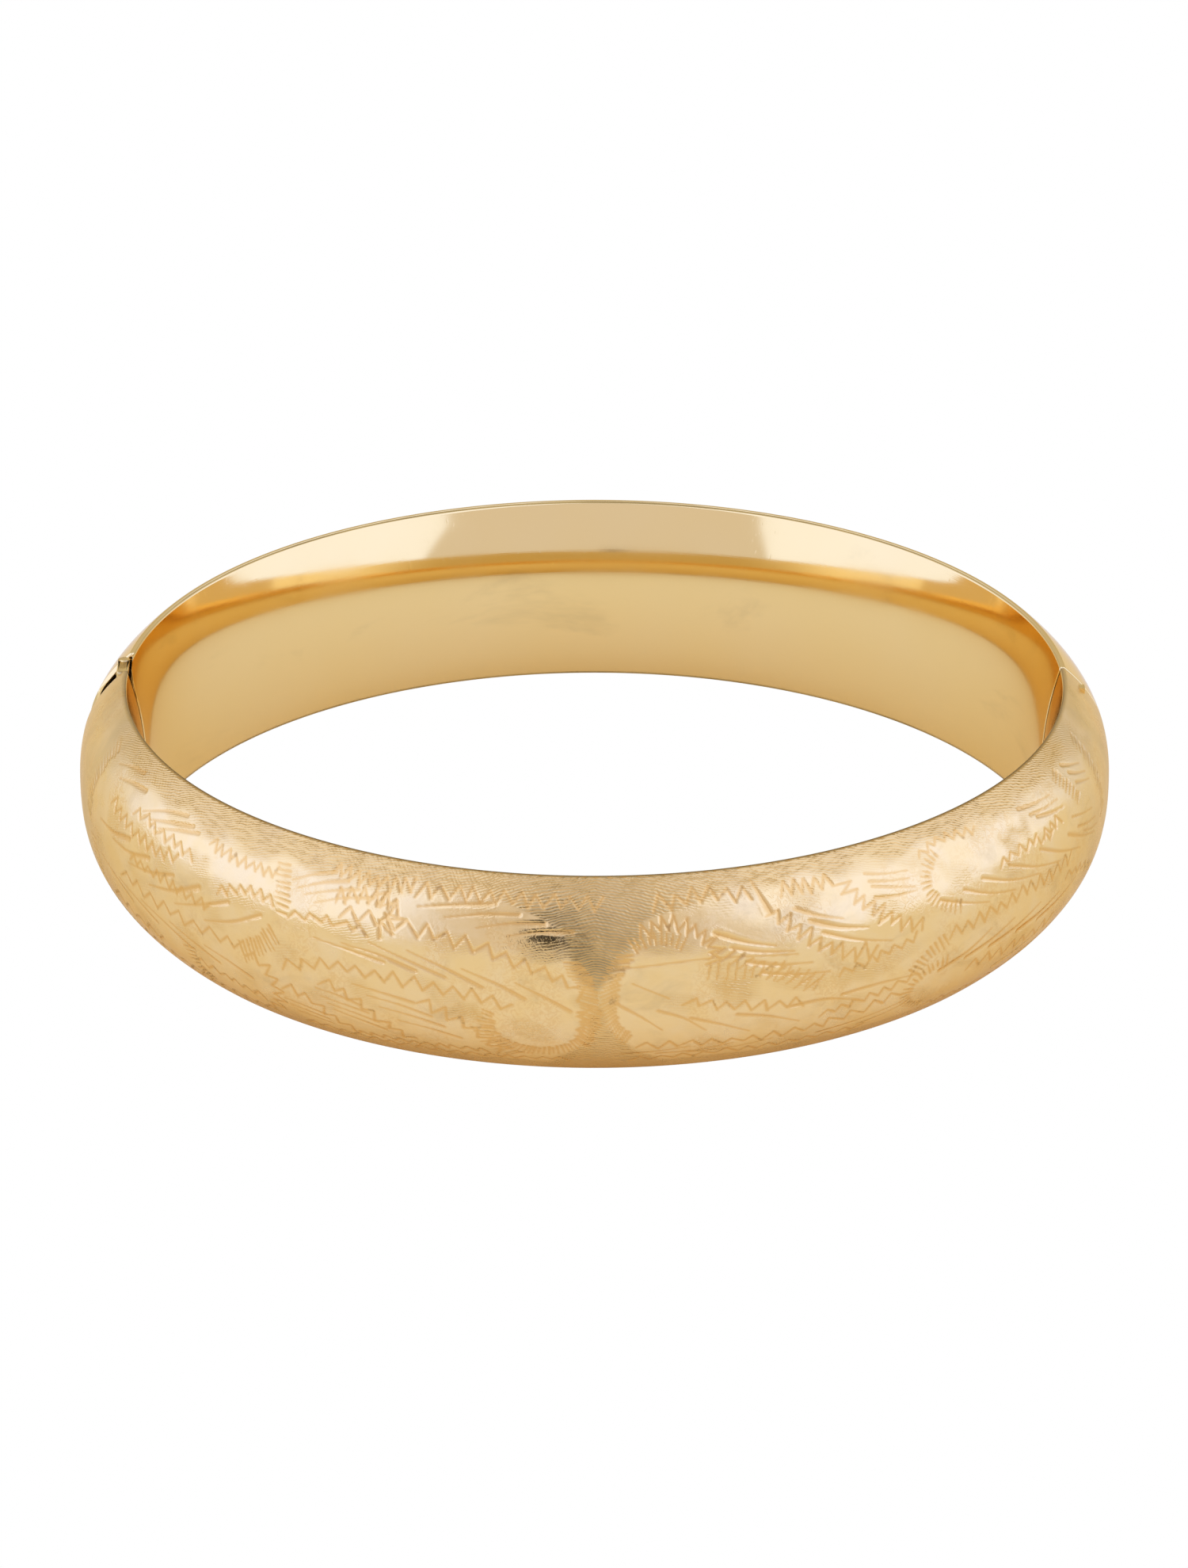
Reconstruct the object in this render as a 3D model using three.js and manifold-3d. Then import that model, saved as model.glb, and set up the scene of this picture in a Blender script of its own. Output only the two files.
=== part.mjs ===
// Hinged oval bangle: two hollow gold halves, each a domed outer shell soldered to an inner liner and
// closed by an end cap. A full-height pin joins them at the left. A folded spring tongue snaps them shut
// at the right, and a small thumb piece on its upper leaf lets it go.
// Millimetres. +Z is up, +Y points to the plain back half. The origin is under the middle of the oval,
// on the surface that the lower rim rests on.
import * as THREE from 'three';
import { mergeVertices } from 'three/addons/utils/BufferGeometryUtils.js';
import Module from 'manifold-3d';

const wasm = await Module();
wasm.setup();

// The oval that the rims follow, seen from above
const OVAL_A = 29.4;             // half length along X
const OVAL_B = 26.15;            // half length along Y
const OVAL_POWER = 1.985;        // 2 would be an ellipse
const RING_STEPS = 80;
const LATHE_RADIUS = 3;          // of the placeholder ring, before its points are laid along the oval

// The hollow section. Radial offsets are measured from the oval, outwards positive.
const WIDTH_FRONT = 12.9;        // band width (height when standing) in the middle of the front half
const WIDTH_BACK = 12.8;
const DOME = 2.97;               // rise of the outer shell over the oval
const DOME_POWER = 2.55;         // a bulge that stays round and meets the rim at a corner
const RIM_OUT = 0.12;            // the flat rim reaches this far out of the oval
const RIM_IN = 0.12;             // and this far in
const CROWN_SIDE = 1.05;         // depth of the liner inside the oval, at the hinge and the clasp
const CROWN_MIDDLE = 1.71;       // and in the middle of each half
const CROWN_POWER = 2.05;
const SHEET = 0.45;              // sheet thickness of shells and liners
const SOLDER = 0.06;             // gap that the solder fills
const DOME_FACETS = 12;
const LINER_FACETS = 8;

// Where the halves end, as Y planes
const FRONT_HINGE_END = 0.7;
const BACK_HINGE_END = 3.15;
const BACK_LINER_END = 0.85;     // the back liner reaches past the hinge, almost to the front one
const FRONT_CLASP_END = 1.0;
const BACK_CLASP_END = 1.25;

// End caps: plates inside the tube, set back from its ends
const CAP_THICKNESS = 0.5;
const CAP_CLEARANCE = 0.15;
const CAP_RECESS = 0.35;
const BACK_HINGE_CAP_RECESS = 1.2;

// Hinge
const PIN_X = -29.65;
const PIN_Y = 2.62;
const PIN_RADIUS = 0.3;
const PIN_CLEARANCE = 0.09;
const PIN_INSET = 0.12;          // the pin's ends lie this far inside the rims
const EAR_HALF_WIDTH = 0.42;
const EAR_THICKNESS = 1.5;
const EAR_INSET = 0.3;           // top of the ear below the rim
const EAR_STEP = 1.15;           // the ear's root drops this far to pass under the shell
const EAR_ROOT_THICKNESS = 1.3;
const EAR_ROOT_END = 1.0;        // the root stops this far short of the pin's axis
const KNUCKLE_RADIUS = 0.65;
const KNUCKLE_GAP = 0.15;        // between knuckle and ear, along the pin
const WEB_HALF_WIDTH = 0.4;      // the web joins the knuckle to the back half's cap
const WEB_INSET = 1.0;
const ROUND_SEGMENTS = 24;

// Clasp
const TONGUE_IN = 0.25;          // radial extent of both leaves
const TONGUE_OUT = 1.5;
const LEAF = 0.35;               // leaf thickness
const FOLD_Y = -6.02;            // the tip, where the two leaves meet
const BASE_LEAF_Z = 4.3;         // underside of the lower leaf
const LEAF_TOP_Z = 8.45;         // upper face of the upper leaf at the mouth
const CATCH_RISE = 0.3;          // the catch shoulder over the upper leaf
const CATCH_Y = -0.72;
const MOUTH_CLEARANCE = 0.25;
const THUMB_HALF_WIDTH = 0.3;
const THUMB_R = 1.05;
const THUMB_TOP_Z = 12.0;
const THUMB_FRONT_Y = -0.17;
const THUMB_BACK_Y = 0.53;
const BOX_WALL = 0.25;
const BOX_FOOT_Y = -6.72;
const FAR = 40;                  // beyond everything, for cutting boxes

const finish = (color, roughness) => new THREE.MeshStandardMaterial({ color, roughness, metalness: 1 });
const materials = {
  engraved: finish(0xdcb273, 0.3),
  polished: finish(0xe6c48c, 0.12),
  liner: finish(0xd9ae6c, 0.16),
  joint: finish(0xc79a58, 0.25),
  spring: finish(0xb98f52, 0.3),
};

const power = (value, exponent) => Math.sign(value) * Math.abs(value) ** exponent;

// A place on the oval at a parameter angle: the point, and the unit normal that points outwards
function oval(angle) {
  const x = OVAL_A * power(Math.cos(angle), 2 / OVAL_POWER);
  const y = OVAL_B * power(Math.sin(angle), 2 / OVAL_POWER);
  const gx = power(x / OVAL_A, OVAL_POWER - 1) / OVAL_A;
  const gy = power(y / OVAL_B, OVAL_POWER - 1) / OVAL_B;
  const length = Math.hypot(gx, gy);
  return { x, y, nx: gx / length, ny: gy / length };
}

// Half of the band's width where the oval is at y. The lower rim stays flat on the table.
const halfWidth = (y) => (WIDTH_FRONT + WIDTH_BACK) / 4 - (WIDTH_FRONT - WIDTH_BACK) / 4 * (y / OVAL_B);

// Points of a bulged section from the lower rim to the upper rim, inset all round
function arc(facets, y, rim, depth, exponent, inset) {
  const half = halfWidth(y);
  return Array.from({ length: facets + 1 }, (_, i) => {
    const across = Math.sin(Math.PI * (i / facets - 0.5));
    const r = rim + (depth - rim - inset) * (1 - Math.abs(across) ** exponent);
    return [r, half + (half - inset) * across];
  });
}

const dome = (y, inset) => arc(DOME_FACETS, y, RIM_OUT, DOME, DOME_POWER, inset);

function crown(y, inset) {
  const depth = CROWN_SIDE + (CROWN_MIDDLE - CROWN_SIDE) * (y / OVAL_B) ** 2;
  return arc(LINER_FACETS, y, RIM_IN, depth, CROWN_POWER, inset).map(([r, z]) => [-r, z]);
}

// The domed sheet and its two flat rims, as a closed section
function shellSection(y) {
  const top = 2 * halfWidth(y);
  return [
    [-RIM_IN, 0], ...dome(y, 0), [-RIM_IN, top],
    [-RIM_IN, top - SHEET], ...dome(y, SHEET).reverse(), [-RIM_IN, SHEET],
  ];
}

function linerSection(y) {
  const shifted = (points) => points.map(([r, z]) => [r - SOLDER, z]);
  return [...shifted(crown(y, SHEET)), ...shifted(crown(y, 0)).reverse()];
}

// What an end cap fills inside the sheets
function plugSection(y) {
  const inset = SHEET + CAP_CLEARANCE;
  const top = 2 * halfWidth(y) - inset;
  return [[-RIM_IN, inset], ...dome(y, inset), [-RIM_IN, top]];
}

const rectangle = (inner, outer, low, high) => [[inner, low], [outer, low], [outer, high], [inner, high]];

// Geometry and solids
function toSolid(geometry) {
  const bare = geometry.index ? geometry : geometry.clone();
  bare.deleteAttribute('normal');
  bare.deleteAttribute('uv');
  const merged = mergeVertices(bare, 1e-4);
  const mesh = new wasm.Mesh({
    numProp: 3,
    vertProperties: new Float32Array(merged.attributes.position.array),
    triVerts: new Uint32Array(merged.index.array),
  });
  return new wasm.Manifold(mesh);
}

function toGeometry(solid) {
  const mesh = solid.getMesh();
  const geometry = new THREE.BufferGeometry();
  geometry.setAttribute('position', new THREE.BufferAttribute(new Float32Array(mesh.vertProperties), 3));
  geometry.setIndex(new THREE.BufferAttribute(new Uint32Array(mesh.triVerts), 1));
  geometry.computeVertexNormals();
  return geometry;
}

// A closed ring: a lathe's topology, laid along the oval with the section that belongs to each place
function ring(section) {
  const count = section(0).length;
  const circle = Array.from({ length: count + 1 }, (_, j) => {
    const turn = 2 * Math.PI * j / count;
    return new THREE.Vector2(LATHE_RADIUS + Math.cos(turn), Math.sin(turn));
  });
  const geometry = new THREE.LatheGeometry(circle, RING_STEPS);
  const position = geometry.attributes.position;
  for (let i = 0; i <= RING_STEPS; i++) {
    const place = oval(2 * Math.PI * (i % RING_STEPS) / RING_STEPS);
    const points = section(place.y);
    for (let j = 0; j <= count; j++) {
      const [r, z] = points[j % count];
      position.setXYZ(i * (count + 1) + j, place.x + place.nx * r, place.y + place.ny * r, z);
    }
  }
  return toSolid(geometry);
}

function box(x0, x1, y0, y1, z0, z1) {
  const geometry = new THREE.BoxGeometry(x1 - x0, y1 - y0, z1 - z0);
  geometry.translate((x0 + x1) / 2, (y0 + y1) / 2, (z0 + z1) / 2);
  return toSolid(geometry);
}

function post(radius, x, y, z0, z1) {
  const geometry = new THREE.CylinderGeometry(radius, radius, z1 - z0, ROUND_SEGMENTS);
  geometry.rotateX(Math.PI / 2);
  geometry.translate(x, y, (z0 + z1) / 2);
  return toSolid(geometry);
}

const leftSlab = (y0, y1) => box(-FAR, 0, y0, y1, -1, FAR);
const rightSlab = (y0, y1) => box(0, FAR, y0, y1, -1, FAR);

const bangle = new THREE.Group();

function place(name, solid, material) {
  const mesh = new THREE.Mesh(toGeometry(solid), material);
  mesh.name = name;
  bangle.add(mesh);
}

// The two halves
const frontZone = leftSlab(-FAR, FRONT_HINGE_END).add(rightSlab(-FAR, FRONT_CLASP_END));
const backZone = leftSlab(BACK_HINGE_END, FAR).add(rightSlab(BACK_CLASP_END, FAR));
const backLinerZone = leftSlab(BACK_LINER_END, FAR).add(rightSlab(BACK_CLASP_END, FAR));
const shellRing = ring(shellSection);
const linerRing = ring(linerSection);
const plugRing = ring(plugSection);

// The thumb piece works in a notch in the front half's upper edge, open towards the seam
const claspPlace = oval(Math.asin(power(FRONT_CLASP_END / OVAL_B, OVAL_POWER / 2)));
const thumbX = claspPlace.x + THUMB_R;
const notchHalf = THUMB_HALF_WIDTH + MOUTH_CLEARANCE;
const thumbNotch = box(
  thumbX - notchHalf, thumbX + notchHalf,
  THUMB_FRONT_Y - MOUTH_CLEARANCE, FAR, LEAF_TOP_Z - LEAF, FAR,
);

place('front_outer_shell', shellRing.intersect(frontZone).subtract(thumbNotch), materials.engraved);
place('front_inner_liner', linerRing.intersect(frontZone), materials.liner);
place('back_outer_shell', shellRing.intersect(backZone), materials.polished);
place('back_inner_liner', linerRing.intersect(backLinerZone), materials.liner);

// End caps of the hinge side
const frontHingeFace = FRONT_HINGE_END - CAP_RECESS;
const backHingeFace = BACK_HINGE_END + BACK_HINGE_CAP_RECESS;
place('front_hinge_end_cap',
  plugRing.intersect(leftSlab(frontHingeFace - CAP_THICKNESS, frontHingeFace)), materials.joint);
place('back_hinge_end_cap',
  plugRing.intersect(leftSlab(backHingeFace, backHingeFace + CAP_THICKNESS)), materials.joint);

// End caps of the clasp side. The front one is the mouth that the tongue snaps into.
const frontClaspFace = FRONT_CLASP_END - CAP_RECESS;
const backClaspFace = BACK_CLASP_END + CAP_RECESS;
const mouth = ring(() => rectangle(
  TONGUE_IN - MOUTH_CLEARANCE, TONGUE_OUT + MOUTH_CLEARANCE,
  BASE_LEAF_Z - MOUTH_CLEARANCE, LEAF_TOP_Z + CATCH_RISE + MOUTH_CLEARANCE / 2,
)).intersect(rightSlab(-FAR, FAR));
place('front_clasp_end_cap',
  plugRing.intersect(rightSlab(frontClaspFace - CAP_THICKNESS, frontClaspFace))
    .subtract(mouth).subtract(thumbNotch), materials.joint);
place('back_clasp_end_cap',
  plugRing.intersect(rightSlab(backClaspFace, backClaspFace + CAP_THICKNESS)), materials.joint);

// Hinge: the front half's two ears hold the pin's ends, the back half's long knuckle turns on it
const hingeTop = 2 * halfWidth(PIN_Y);
const pinBore = post(PIN_RADIUS + PIN_CLEARANCE, PIN_X, PIN_Y, -1, FAR);
const rootFace = frontHingeFace + SOLDER;

function ear(level, direction) {
  const low = (z, thickness) => Math.min(z, z - direction * thickness);
  const high = (z, thickness) => Math.max(z, z - direction * thickness);
  const rootLevel = level - direction * EAR_STEP;
  const x0 = PIN_X - EAR_HALF_WIDTH;
  const x1 = PIN_X + EAR_HALF_WIDTH;
  const outside = FRONT_HINGE_END + KNUCKLE_GAP;
  return box(x0, x1, outside, PIN_Y, low(level, EAR_THICKNESS), high(level, EAR_THICKNESS))
    .add(box(x0, x1, rootFace, PIN_Y - EAR_ROOT_END,
      low(rootLevel, EAR_ROOT_THICKNESS), high(rootLevel, EAR_ROOT_THICKNESS)))
    .add(post(EAR_HALF_WIDTH, PIN_X, PIN_Y, low(level, EAR_THICKNESS), high(level, EAR_THICKNESS)))
    .subtract(pinBore);
}

place('hinge_ear_top', ear(hingeTop - EAR_INSET, 1), materials.joint);
place('hinge_ear_bottom', ear(EAR_INSET, -1), materials.joint);

const knuckleLow = EAR_INSET + EAR_THICKNESS + 2 * KNUCKLE_GAP;
const knuckleHigh = hingeTop - knuckleLow;
place('back_hinge_knuckle',
  post(KNUCKLE_RADIUS, PIN_X, PIN_Y, knuckleLow, knuckleHigh)
    .add(box(PIN_X - WEB_HALF_WIDTH, PIN_X + WEB_HALF_WIDTH, PIN_Y, backHingeFace - SOLDER,
      knuckleLow + WEB_INSET, knuckleHigh - WEB_INSET))
    .subtract(pinBore), materials.joint);
place('hinge_pin', post(PIN_RADIUS, PIN_X, PIN_Y, PIN_INSET, hingeTop - PIN_INSET), materials.joint);

// Clasp box: a channel behind the mouth that guides the tongue, open above for the catch
const boxIn = TONGUE_IN - MOUTH_CLEARANCE;
const boxOut = TONGUE_OUT + MOUTH_CLEARANCE;
const boxFloor = BASE_LEAF_Z - MOUTH_CLEARANCE;
const boxTop = LEAF_TOP_Z;
const channel = ring(() => [
  [boxIn - BOX_WALL, boxFloor - BOX_WALL], [boxOut + BOX_WALL, boxFloor - BOX_WALL],
  [boxOut + BOX_WALL, boxTop], [boxOut, boxTop], [boxOut, boxFloor],
  [boxIn, boxFloor], [boxIn, boxTop], [boxIn - BOX_WALL, boxTop],
]);
const boxMouth = frontClaspFace - CAP_THICKNESS - SOLDER;
place('clasp_box', channel.intersect(rightSlab(BOX_FOOT_Y, boxMouth)), materials.joint);

// Tongue: the lower leaf is soldered to the back half, the upper leaf springs about the fold at the tip
const baseLeaf = ring(() => rectangle(TONGUE_IN, TONGUE_OUT, BASE_LEAF_Z, BASE_LEAF_Z + LEAF))
  .intersect(rightSlab(FOLD_Y, backClaspFace - SOLDER));
place('tongue_base_leaf', baseLeaf, materials.spring);

const leafStart = BASE_LEAF_Z + 2 * LEAF + KNUCKLE_GAP;
const leafRun = THUMB_FRONT_Y - FOLD_Y;
const leafTop = (y) => leafStart + (LEAF_TOP_Z - leafStart) * Math.min(1, Math.max(0, (y - FOLD_Y) / leafRun));
const upperLeaf = ring((y) => rectangle(TONGUE_IN, TONGUE_OUT, leafTop(y) - LEAF, leafTop(y)))
  .intersect(rightSlab(FOLD_Y, THUMB_BACK_Y));
const catchBlock = ring((y) => rectangle(TONGUE_IN, TONGUE_OUT, leafTop(y) - LEAF / 2, LEAF_TOP_Z + CATCH_RISE))
  .intersect(rightSlab(CATCH_Y, frontClaspFace - CAP_THICKNESS - KNUCKLE_GAP));
place('tongue_spring_leaf', upperLeaf.add(catchBlock), materials.spring);

place('thumb_piece',
  box(thumbX - THUMB_HALF_WIDTH, thumbX + THUMB_HALF_WIDTH,
    THUMB_FRONT_Y + KNUCKLE_GAP, THUMB_BACK_Y, LEAF_TOP_Z + SOLDER, THUMB_TOP_Z), materials.spring);

export default bangle;
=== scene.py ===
"""Looks of the hinged gold bangle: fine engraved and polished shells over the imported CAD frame.

The helper functions work in millimetres and turn into metres when a mesh is made.
"""
import math

import bmesh
import bpy
import numpy as np
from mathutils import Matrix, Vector


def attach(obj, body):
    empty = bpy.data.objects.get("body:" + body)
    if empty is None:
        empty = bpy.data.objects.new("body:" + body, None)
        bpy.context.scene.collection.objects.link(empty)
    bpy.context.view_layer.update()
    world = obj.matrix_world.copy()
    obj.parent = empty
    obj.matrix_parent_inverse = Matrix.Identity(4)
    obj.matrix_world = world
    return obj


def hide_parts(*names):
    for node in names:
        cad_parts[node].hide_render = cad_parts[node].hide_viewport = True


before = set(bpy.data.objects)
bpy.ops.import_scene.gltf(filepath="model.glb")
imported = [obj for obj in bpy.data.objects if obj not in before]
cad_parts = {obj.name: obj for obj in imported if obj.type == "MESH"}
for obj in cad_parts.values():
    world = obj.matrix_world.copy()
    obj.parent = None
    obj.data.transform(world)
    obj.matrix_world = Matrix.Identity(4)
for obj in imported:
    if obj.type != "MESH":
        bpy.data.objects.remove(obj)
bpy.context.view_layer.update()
MM = 0.001

# ---------------------------------------------------------------- the oval and the section (as in the CAD)
OVAL_A, OVAL_B, OVAL_POWER = 29.4, 26.15, 1.985
WIDTH_FRONT, WIDTH_BACK = 12.9, 12.8
DOME, DOME_POWER = 2.97, 2.55
RIM_OUT, RIM_IN = 0.12, 0.12
CROWN_SIDE, CROWN_MIDDLE = 1.05, 1.71
CROWN_POWER = 2.05
RIM_START = 0.86        # past this share of the width the liner runs straight to the rim
SHEET = 0.45
FRONT_HINGE_END, BACK_HINGE_END = 0.7, 3.15
CLASP_SEAM, SEAM_GAP = 1.12, 0.03
BACK_LINER_END = 0.85
CORNER_START, CORNER_RISE = 0.70, 1.95      # rounding of the back liner's hinge end, near the rims
PIN_X, PIN_Y, PIN_RADIUS = -29.65, 2.62, 0.3
PIN_INSET = 0.12        # each end of the pin lies this far inside the rim
EAR_DROP = 0.16         # top of the ear below the rim
EAR_HALF = 0.38
EAR_ROUNDING = 0.14
EAR_DEPTH = 1.5
BORE_PLAY = 0.07
MID = (WIDTH_FRONT + WIDTH_BACK) / 4


def power(value, exponent):
    return np.sign(value) * np.abs(value) ** exponent


def arc_table(points):
    """Running length along a polyline of points."""
    steps = np.linalg.norm(np.diff(points, axis=0), axis=1)
    return np.concatenate([[0.0], np.cumsum(steps)])


class Oval:
    """The rim's oval, by length s along it. s is 0 in the middle of the front and grows to the right."""

    turn = np.linspace(-1.5 * math.pi, 0.5 * math.pi, 24001)
    x = OVAL_A * power(np.cos(turn), 2 / OVAL_POWER)
    y = OVAL_B * power(np.sin(turn), 2 / OVAL_POWER)
    gx = power(x / OVAL_A, OVAL_POWER - 1) / OVAL_A
    gy = power(y / OVAL_B, OVAL_POWER - 1) / OVAL_B
    norm = np.hypot(gx, gy)
    length = arc_table(np.stack([x, y], 1))
    s = length - length[-1] / 2
    total = length[-1]

    @classmethod
    def at(cls, s):
        wrapped = (s + cls.total / 2) % cls.total - cls.total / 2
        pick = lambda values: np.interp(wrapped, cls.s, values)
        x, y, nx, ny = pick(cls.x), pick(cls.y), pick(cls.gx / cls.norm), pick(cls.gy / cls.norm)
        size = np.hypot(nx, ny)
        return x, y, nx / size, ny / size


def half_width(y):
    return MID - (WIDTH_FRONT - WIDTH_BACK) / 4 * (y / OVAL_B)


DOME_Z = np.linspace(-1, 1, 6001)
DOME_R = RIM_OUT + (DOME - RIM_OUT) * (1 - np.abs(DOME_Z) ** DOME_POWER)
DOME_V = arc_table(np.stack([DOME_R, DOME_Z * MID], 1))
DOME_V -= DOME_V[-1] / 2
DOME_TILT = np.arctan2(-np.gradient(DOME_R), np.gradient(DOME_Z * MID))
V_MAX = DOME_V[-1]


def dome_section(v, y, inset=0.0):
    """Radial offset and height of the outer skin at width position v (0 on the crest, up positive)."""
    r = np.interp(v, DOME_V, DOME_R)
    z = np.interp(v, DOME_V, DOME_Z)
    share = (r - RIM_OUT) / (DOME - RIM_OUT)
    half = half_width(y)
    return r - inset * share, half + (half - inset) * z


def crown_section(q, y, inset=0.0):
    """The same for the inner skin; q runs from -1 at the lower rim to 1 at the upper rim."""
    depth = CROWN_SIDE + (CROWN_MIDDLE - CROWN_SIDE) * (y / OVAL_B) ** 2
    half = half_width(y)
    bowl = np.abs(q) ** CROWN_POWER
    edge = RIM_START ** CROWN_POWER + CROWN_POWER * RIM_START ** (CROWN_POWER - 1) * (np.abs(q) - RIM_START)
    last = RIM_START ** CROWN_POWER + CROWN_POWER * RIM_START ** (CROWN_POWER - 1) * (1 - RIM_START)
    r = -RIM_IN - (depth - RIM_IN - inset) * (1 - np.where(np.abs(q) < RIM_START, bowl, edge) / last)
    return r, half + (half - inset) * q


def lay(s, r, z):
    """Point in space for length s, radial offset r and height z."""
    x, y, nx, ny = Oval.at(s)
    return np.stack([x + nx * r, y + ny * r, z], -1)


def end_length(y_plane, side, radial):
    """Length s where a line at each radial offset meets the plane y = y_plane, left (-1) or right (1)."""
    low = np.zeros_like(radial)
    high = np.full_like(radial, Oval.total / 2)
    for _ in range(40):
        middle = (low + high) / 2
        _, y, _, ny = Oval.at(side * middle)
        short = y + ny * radial < y_plane
        low, high = np.where(short, middle, low), np.where(short, high, middle)
    return side * (low + high) / 2


# ---------------------------------------------------------------- meshes
def make_object(name, points, faces, smooth=True):
    mesh = bpy.data.meshes.new(name)
    mesh.from_pydata(points, [], faces)
    mesh.validate()
    if smooth:
        mesh.shade_smooth()
    obj = bpy.data.objects.new(name, mesh)
    bpy.context.scene.collection.objects.link(obj)
    return obj


def grid_faces(rows, cols, first=0, flip=False):
    """Quads of a rows by cols grid of points, stored row by row."""
    i, j = np.meshgrid(np.arange(rows - 1), np.arange(cols - 1), indexing="ij")
    a = first + i * cols + j
    quads = np.stack([a, a + 1, a + cols + 1, a + cols], -1).reshape(-1, 4)
    return quads[:, ::-1] if flip else quads


def sheet_object(name, outside, inside):
    """A closed sheet between two skins given as (rows, cols, 3) point grids with the same rows.

    The skins' side edges are joined row by row and each end is closed with one face.
    """
    rows, cols = outside.shape[:2]
    back_cols = inside.shape[1]
    points = np.concatenate([outside.reshape(-1, 3), inside.reshape(-1, 3)]) * MM
    base = rows * cols
    quads = [grid_faces(rows, cols, flip=True), grid_faces(rows, back_cols, base)]
    i = np.arange(rows - 1)
    for a, b, turn in ((i * cols, base + i * back_cols, True),
                       (i * cols + cols - 1, base + i * back_cols + back_cols - 1, False)):
        strip = np.stack([a, a + cols, b + back_cols, b], -1)
        quads.append(strip[:, ::-1] if turn else strip)
    quads = np.concatenate(quads)
    ends = [
        list(range(cols)) + [base + k for k in range(back_cols)][::-1],
        [(rows - 1) * cols + k for k in range(cols)][::-1]
        + [base + (rows - 1) * back_cols + k for k in range(back_cols)],
    ]
    mesh = bpy.data.meshes.new(name)
    loops = np.concatenate([quads.ravel()] + [np.array(e) for e in ends]).astype(np.int32)
    starts = np.concatenate([np.arange(len(quads)) * 4,
                             [len(quads) * 4, len(quads) * 4 + len(ends[0])]]).astype(np.int32)
    mesh.vertices.add(len(points))
    mesh.vertices.foreach_set("co", points.astype(np.float32).ravel())
    mesh.loops.add(len(loops))
    mesh.loops.foreach_set("vertex_index", loops)
    mesh.polygons.add(len(starts))
    mesh.polygons.foreach_set("loop_start", starts)
    mesh.update(calc_edges=True)
    mesh.validate()
    mesh.shade_smooth()
    obj = bpy.data.objects.new(name, mesh)
    bpy.context.scene.collection.objects.link(obj)
    return obj


def point_attribute(obj, name, values, kind="FLOAT"):
    attribute = obj.data.attributes.new(name, kind, "POINT")
    key = "value" if kind == "FLOAT" else "vector"
    attribute.data.foreach_set(key, np.ascontiguousarray(values, np.float32).ravel())


def lengths_between(left_plane, right_plane, radial, count, front):
    """Rows of s from end to end for each column's radial offset, so that both ends are flat planes."""
    left = end_length(left_plane, -1, radial)
    right = end_length(right_plane, 1, radial)
    if not front:
        left, right = right, left + Oval.total
    share = np.linspace(0, 1, count)[:, None]
    return left + (right - left) * share


# ---------------------------------------------------------------- engraving
def waviness(s, v, scale, seed):
    """Smooth unit-size undulation of a hand-worked sheet, with bumps about one scale apart."""
    rng = np.random.default_rng(seed)
    total = np.zeros_like(s + v)
    for _ in range(9):
        turn, phase = rng.uniform(0, 2 * math.pi, 2)
        rate = 2 * math.pi / (scale * rng.uniform(0.7, 1.6))
        total += np.cos(rate * (s * math.cos(turn) + v * math.sin(turn)) + phase)
    return total / 4.5


def curve_through(points, step=0.05):
    """Smooth curve through a few points, as points about one step apart."""
    points = np.asarray(points, float)
    if len(points) == 2:
        count = max(2, int(np.linalg.norm(points[1] - points[0]) / step))
        return points[0] + np.linspace(0, 1, count)[:, None] * (points[1] - points[0])
    padded = np.concatenate([[2 * points[0] - points[1]], points, [2 * points[-1] - points[-2]]])
    parts = []
    for before, start, end, after in zip(padded, padded[1:], padded[2:], padded[3:]):
        t = np.linspace(0, 1, max(3, int(np.linalg.norm(end - start) / step)), endpoint=False)[:, None]
        squared = (2 * before - 5 * start + 4 * end - after) * t ** 2
        cubed = (3 * start - before - 3 * end + after) * t ** 3
        parts.append(0.5 * (2 * start + (end - before) * t + squared + cubed))
    return np.concatenate(parts + [points[-1:]])


def ellipse(centre, radii, start, end):
    """Points of an ellipse's arc between two angles in degrees."""
    turn = np.radians(np.linspace(start, end, 40))
    return np.stack([centre[0] + radii[0] * np.cos(turn), centre[1] + radii[1] * np.sin(turn)], 1)


FINEST = 0.085          # half width of the finest cut, about the spacing of the skin's points
LIP_SHARE = 0.16        # height of the burr beside a cut, as a share of its depth
THIN_END = 0.28         # width of a stroke's tail, as a share of its head
HEAD_AT = 0.82          # share of a stroke's length where it reaches its full width


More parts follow.
